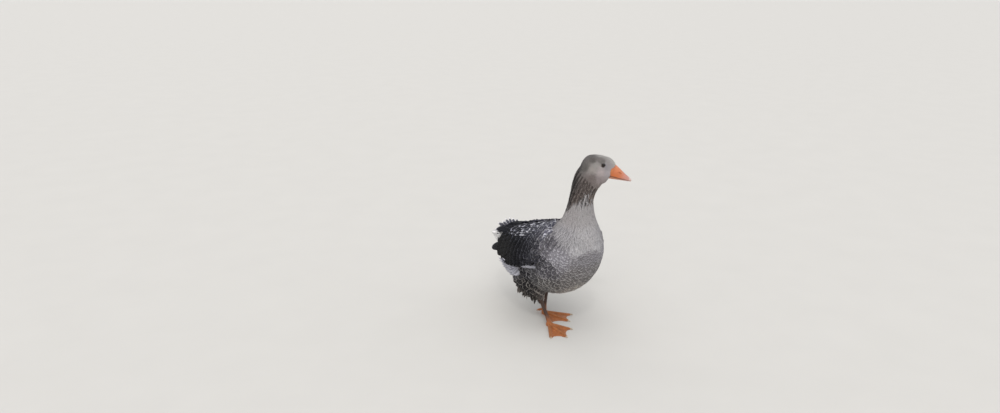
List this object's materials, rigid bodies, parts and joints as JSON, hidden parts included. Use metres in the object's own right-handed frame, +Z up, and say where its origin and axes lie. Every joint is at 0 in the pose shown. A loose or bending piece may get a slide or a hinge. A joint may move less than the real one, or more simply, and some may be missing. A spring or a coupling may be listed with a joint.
{
  "type": "domestic goose",
  "caption": "Life-size still model of a standing grey domestic goose, head turned to its left, wings folded, webbed feet flat on the floor.",
  "frame": {"origin": "middle of the bird's bounding box, on the floor under its feet", "axes": "+Z up; the breast and the body face -Y and the tail +Y; +X is the bird's left. The head looks out to the bird's left, towards +X and -Y"},
  "size_m": [0.2526, 0.4798, 0.5429],
  "materials": {
    "pale_grey_plumage": "soft pale grey feathers",
    "mid_grey_plumage": "grey feathers with paler edges",
    "brown_grey_plumage": "brown grey feathers",
    "slate_wing_plumage": "dark slate feathers with pale edges",
    "white_plumage": "white feathers",
    "orange_bill": "smooth horny bill, satin",
    "pale_bill_nail": "smooth pale horn",
    "orange_leg_skin": "scaly skin, satin",
    "horn_claws": "dark horn",
    "dark_brown_eye": "wet dark eye"
  },
  "bodies": {
    "root": {"bill_lower": "orange_bill", "bill_nail": "pale_bill_nail", "bill_upper": "orange_bill", "breast": "pale_grey_plumage", "claw_inner_left": "horn_claws", "claw_inner_right": "horn_claws", "claw_middle_left": "horn_claws", "claw_middle_right": "horn_claws", "claw_outer_left": "horn_claws", "claw_outer_right": "horn_claws", "eye_left": "dark_brown_eye", "eye_right": "dark_brown_eye", "foot_left": "orange_leg_skin", "foot_right": "orange_leg_skin", "head": "brown_grey_plumage", "hind_claw_left": "horn_claws", "hind_claw_right": "horn_claws", "hind_toe_left": "orange_leg_skin", "hind_toe_right": "orange_leg_skin", "neck_lower": "pale_grey_plumage", "neck_upper": "brown_grey_plumage", "rump": "white_plumage", "shank_left": "orange_leg_skin", "shank_right": "orange_leg_skin", "tail": "white_plumage", "thigh_left": "brown_grey_plumage", "thigh_right": "brown_grey_plumage", "trunk": "mid_grey_plumage", "wing_left": "slate_wing_plumage", "wing_right": "slate_wing_plumage", "wingtip_left": "slate_wing_plumage", "wingtip_right": "slate_wing_plumage"}
  },
  "joints": []
}
